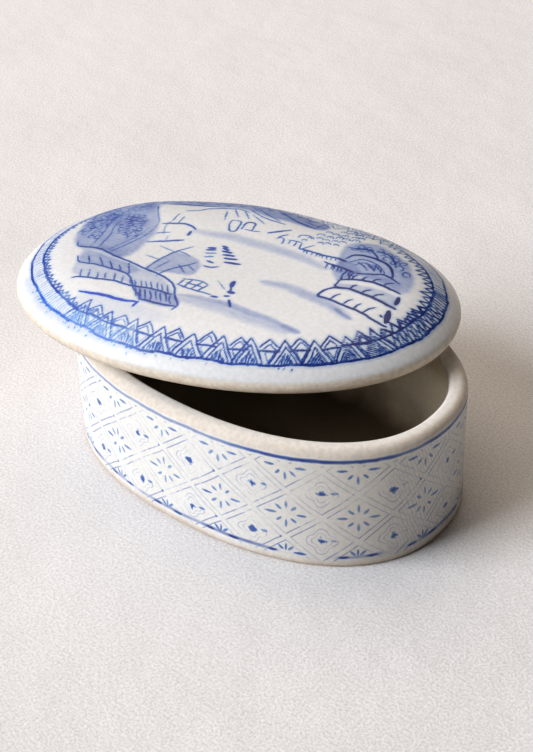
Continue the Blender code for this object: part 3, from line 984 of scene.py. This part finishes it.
def hatching(start, end, pitch, low, high, lean, width, share):
    """Fine slanted strokes side by side between two insets."""
    for place in np.arange(start, end, pitch) + hand.uniform(-0.2, 0.2):
        strength = share * border_strength(place) * hand.uniform(0.4, 1.3)
        shift = left_shift(place)
        bottom, top = shift + low + hand.uniform(-0.2, 0.3), shift + high + hand.uniform(-0.4, 0.2)
        brush(border([place, place + lean + hand.normal(0, 0.2)], [bottom, top]), width, strength)


def spikes(start, end, pitch, foot, height, width, share):
    """Small thorns along the inner line that point to the middle of the lid."""
    for place in np.arange(start, end, pitch):
        base = foot + left_shift(place)
        tall = base + height * hand.uniform(0.6, 1.2)
        half = pitch * 0.46
        thorn = border([place - half, place + hand.normal(0, 0.2), place + half], [base, tall, base])
        brush(thorn[:2], width, share * border_strength(place) * hand.uniform(0.7, 1.2))
        brush(thorn[1:], width, share * border_strength(place) * hand.uniform(0.6, 1.1))


FRONT_STARTS = -113
FRONT_ENDS = -22
BACK_STARTS = 34
BACK_ENDS = 122
LEFT_END = LENGTH_ROUND + FRONT_STARTS
FRONT_SPOTS = 70
border_line(FRONT_STARTS, FRONT_ENDS, LINE_INSET, 0.52, 0.9)
border_line(FRONT_STARTS - 4, FRONT_STARTS + 26, INNER_LINE_INSET - 0.2, 0.42, 1.2)
border_line(FRONT_ENDS - 14, BACK_STARTS, INNER_LINE_INSET + 0.3, 0.55, 1.05)
border_line(FRONT_ENDS, BACK_STARTS, LINE_INSET, 0.52, 1.0)
border_line(BACK_STARTS, BACK_ENDS, LINE_INSET, 0.42, 1.0)
border_line(BACK_ENDS, LEFT_END, LINE_INSET, 0.58, 1.0)
border_line(BACK_ENDS, LEFT_END, INNER_LINE_INSET, 0.64, 1.05)
for first, last in ((FRONT_STARTS, FRONT_ENDS), (BACK_STARTS, BACK_ENDS)):
    for step in range(int((last - first) / half_pitch)):
        peak_at = first + (step + 0.5) * half_pitch + hand.normal(0, 0.3)
        draw = far_chevron if step % 2 else near_chevron
        draw(peak_at, border_strength(peak_at))
spikes(FRONT_ENDS, BACK_STARTS + 2, 3.0, INNER_LINE_INSET + 0.3, 2.6, 0.46, 0.95)
spikes(FRONT_ENDS - 8, FRONT_ENDS + 20, 3.7, INNER_LINE_INSET + 0.3, 3.1, 0.46, 0.9)
hatching(FRONT_ENDS, 8, 1.3, LINE_INSET + 0.2, INNER_LINE_INSET + 0.2, 1.3, 0.38, 0.8)
hatching(FRONT_ENDS, 2, 1.9, LINE_INSET + 0.2, INNER_LINE_INSET + 0.2, -1.3, 0.36, 0.75)
hatching(6, BACK_STARTS, 1.2, LINE_INSET + 0.2, INNER_LINE_INSET, 1.1, 0.30, 0.42)
spikes(BACK_ENDS, LEFT_END + 14, 2.0, INNER_LINE_INSET + 0.2, 1.5, 0.42, 0.8)
hatching(BACK_ENDS, LEFT_END + 18, 1.0, LINE_INSET + 0.3, INNER_LINE_INSET - 0.2, 0.5, 0.28, 0.30)
for _ in range(FRONT_SPOTS):
    place = -105 + 22 * hand.normal()
    depth = LINE_INSET + left_shift(place) - 0.4 + hand.normal(0, 0.45)
    spot = border([place, place + hand.uniform(-0.6, 0.6)], [depth, depth - hand.uniform(0.0, 0.35)])
    brush(spot, 0.34, hand.uniform(0.15, 0.7))
smudge = border(np.linspace(LEFT_END - 26, LEFT_END + 26, 30), np.full(30, 3.0))
sweep(smudge, 2.4, 0.09, soft=1.8, tip=0.4)
pale_ring = border(np.linspace(0, LENGTH_ROUND, 160), np.full(160, 5.4))
sweep(pale_ring, 4.4, 0.020, soft=1.8, tip=1.0)


def note_points(name, columns, elsewhere=0.0):
    """Keep three values for each of the lid's points: columns on the crown, and then one value."""
    values = np.zeros((len(lid_points), 3))
    values[:, 0] = elsewhere
    values[:crown_count] = np.stack(columns, axis=1)
    lid.data.attributes.new(name, "FLOAT_VECTOR", "POINT").data.foreach_set("vector", values.ravel())


note_points("brushwork", [np.clip(stroke_gap, -1, NO_STROKE), stroke_load, wash_depth], NO_STROKE)
lid.data.attributes.new("section_row", "FLOAT", "POINT").data.foreach_set("value", lid_rows)

FRESH_BLUE = (0.030, 0.150, 0.740)
NAVY = (0.022, 0.070, 0.330)
WASH_COBALT = (0.050, 0.092, 0.370)
ROLL_CREAM_AND_PAINTED_SHADE = (0.715, 0.690, 0.625, 1)
ROLL_CLAY = (0.830, 0.740, 0.600, 1)

# Which cobalt was ground for which side: a fresh blue at the front left, and navy at the right.
every_point = np.arange(crown_count)
from_edge = crown_share(crown_x, crown_y) * CROWN_HALF_WIDTH
near_streak = 1 - soft_step(off_line(flowing(STREAK), every_point)[0].min(axis=1) - 1.0)
outermost = 1 - soft_step((from_edge - 4.0) / 2.5)
front_left = soft_step((-crown_y - 17) / 6) * soft_step((-6 - crown_x) / 14)
fresh_share = np.maximum(near_streak, (0.25 + 0.75 * outermost) * front_left)
navy_share = soft_step((crown_x - 12) / 22)
note_points("ink_mix", [fresh_share, navy_share, np.zeros(crown_count)])


def lid_glaze():
    """Glazed crown with the painting under it, cream bare clay on the lower edge and the ring."""
    material, shader, place = start_glaze("painted_lid_glaze")
    painting = place.make("ShaderNodeAttribute", {"attribute_name": "brushwork"}, {}, 1)
    gap, load, wash_amount = painting.parts()
    fresh, navy, _ = place.make("ShaderNodeAttribute", {"attribute_name": "ink_mix"}, {}, 1).parts()
    row = place.make("ShaderNodeAttribute", {"attribute_name": "section_row"}, {}, 2)
    flow = place.noise(420, 3)
    bristle = place.noise(1500, 2)
    pressure = place.noise(130, 2)
    slow = place.noise(24, 1)

    # The ink of the lines with its soft halo, and the washes, which run in streaks.
    edge = gap + (bristle - 0.5) * 0.26
    strength = (load * (0.95 + 1.05 * flow + 0.7 * (pressure - 0.5))).least(1.55)
    line = (1 - edge.fade(-0.16, 0.20)) * strength
    halo = (1 - gap.fade(0.0, 0.9)) * load * 0.08
    stretch = {"Vector": place, "Scale": (0.35, 1.6, 1.0)}
    streaks = place.make("ShaderNodeMapping", {"vector_type": "POINT"}, stretch).noise(700, 3)
    cloud = wash_amount * (0.34 + 0.55 * flow + 0.7 * streaks + 0.6 * (pressure - 0.5))

    # The ground under it: cool glaze on the crown, cream glaze darkened as painted shade on the roll, then
    # bare toasted clay.
    glaze = (slow * 0.5 + flow * 0.15 + 0.25).tint(GLAZE_WHITE, GLAZE_COOL)
    # Painted shade: the roll's cream glaze is made darker than its own colour.
    glaze = row.fade(0.0, 1.5).tint(glaze, ROLL_CREAM_AND_PAINTED_SHADE)
    washed = paint_cobalt(cloud, glaze, WASH_COBALT)
    ink = line.most(halo) * (1 + 0.10 * navy)
    painted = fresh.tint(paint_cobalt(ink, washed, COBALT), paint_cobalt(ink, washed, FRESH_BLUE))
    painted = navy.tint(painted, paint_cobalt(ink, washed, NAVY))
    bare = (row + (pressure - 0.5) * 0.9).fade(0.6, 2.3) * row.fade(0.4, 1.0)
    toasted = 0.08 + 0.25 * flow.fade(0.35, 0.75) + 0.30 * row.fade(2.0, 5.0)
    clay = toasted.tint(ROLL_CLAY, CLAY_TAN)
    ceiling = row.fade(19.0, 20.5)
    colour = (bare * 0.9).tint(painted, clay)
    colour = (ceiling * 0.75).tint(colour, GLAZE_WHITE)
    specks = iron_specks(place, 48, 0.24)
    colour = (specks * 0.85).tint(colour, IRON_BROWN)
    unglazed = bare * (1 - ceiling)
    finish_glaze(shader, place, colour, flow, specks, unglazed, dust=(0.09, 0.07), grit=0.50)
    return material


lid.data.materials.append(lid_glaze())
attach(lid, "lid")
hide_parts("lid")

# ------------------------------------------------------------------------------------------------
# The setting: a sheet of warm white paper, one large soft light from the left and a
# little in front, a weak warm one high behind, and a camera that looks down on the open side.
# ------------------------------------------------------------------------------------------------

FLOOR_HALF_SIZE = 3.0
PAPER_WHITE = (0.970, 0.960, 0.960, 1)
PAPER_SHADE = (0.550, 0.540, 0.540, 1)
ROOM_COLOUR = (1.0, 0.90, 0.80, 1)
ROOM_STRENGTH = 0.030

VIEW_AZIMUTH = math.radians(40.15)
VIEW_ELEVATION = math.radians(35.51)
VIEW_ROLL = math.radians(-1.95)
VIEW_DISTANCE = 0.4114
VIEW_LENS = 74.51
VIEW_CENTRE = Vector((-0.0070, 0.0090, 0.0159))

VIEW_LEFT = Vector((-math.cos(VIEW_AZIMUTH), -math.sin(VIEW_AZIMUTH), 0.0))
VIEW_FRONT = Vector((math.sin(VIEW_AZIMUTH), -math.cos(VIEW_AZIMUTH), 0.0))
CLIP_START = 0.01


def make_paper():
    """The floor as one flat sheet, with a fine felt grain and slow soft undulations."""
    corners = np.array([[-1, -1, 0], [1, -1, 0], [1, 1, 0], [-1, 1, 0]]) * FLOOR_HALF_SIZE / MM
    sheet = make_skin("paper_floor", corners.astype(float), np.array([[0, 1, 2, 3]]), np.zeros((0, 3), int))
    material, shader, place = start_glaze("warm_paper")
    felt = place.noise(1500, 3, 0.7)
    slow = place.noise(16, 3)
    mottle = felt.fade(0.20, 0.80) * 0.8 + slow * 0.2
    relief = felt * 0.5 + place.noise(160, 3) * 0.8 + place.noise(45, 3) * 3.0 + slow * 8.0
    bump = {"Height": relief, "Strength": 0.5, "Distance": 0.4 * MM}
    feed(shader, Base_Color=mottle.tint(PAPER_WHITE, PAPER_SHADE),
         Normal=place.make("ShaderNodeBump", {}, bump))
    shader.inputs["Roughness"].default_value = 0.95
    shader.inputs["Specular IOR Level"].default_value = 0.15
    sheet.data.materials.append(material)


def make_seen(name, data, way, distance, elevation, roll=0.0):
    """Put a light or a camera so far out from the view's middle and so high, pointed at the middle."""
    thing = bpy.data.objects.new(name, data)
    bpy.context.scene.collection.objects.link(thing)
    offset = distance * (way * math.cos(elevation) + Vector((0, 0, math.sin(elevation))))
    facing = (-offset).to_track_quat("-Z", "Y").to_matrix().to_4x4()
    thing.matrix_world = Matrix.Translation(VIEW_CENTRE + offset) @ facing @ Matrix.Rotation(roll, 4, "Z")
    return thing


def make_light(name, side, elevation, distance, width, height, power, colour):
    """A soft light, turned by so many degrees from the view's left towards its front."""
    lamp = bpy.data.lights.new(name, "AREA")
    lamp.shape = "RECTANGLE"
    lamp.size = width
    lamp.size_y = height
    lamp.energy = power
    lamp.color = colour
    side = math.radians(side)
    way = VIEW_LEFT * math.cos(side) + VIEW_FRONT * math.sin(side)
    make_seen(name, lamp, way, distance, math.radians(elevation))


make_paper()
make_light("key_light", side=15, elevation=31, distance=3.0, width=1.80, height=2.50,
           power=127.0, colour=(0.975, 0.995, 1.05))
make_light("ceiling_light", side=-75, elevation=60, distance=1.5, width=1.4, height=1.4,
           power=13.5, colour=(1.0, 0.85, 0.71))

camera = bpy.data.cameras.new("camera")
camera.lens = VIEW_LENS
camera.clip_start = CLIP_START
bpy.context.scene.camera = make_seen("camera", camera, VIEW_FRONT, VIEW_DISTANCE, VIEW_ELEVATION, VIEW_ROLL)

room = bpy.data.worlds.new("room")
room.use_nodes = True
room.node_tree.nodes["Background"].inputs["Color"].default_value = ROOM_COLOUR
room.node_tree.nodes["Background"].inputs["Strength"].default_value = ROOM_STRENGTH
bpy.context.scene.world = room
bpy.context.scene.view_settings.view_transform = "Standard"
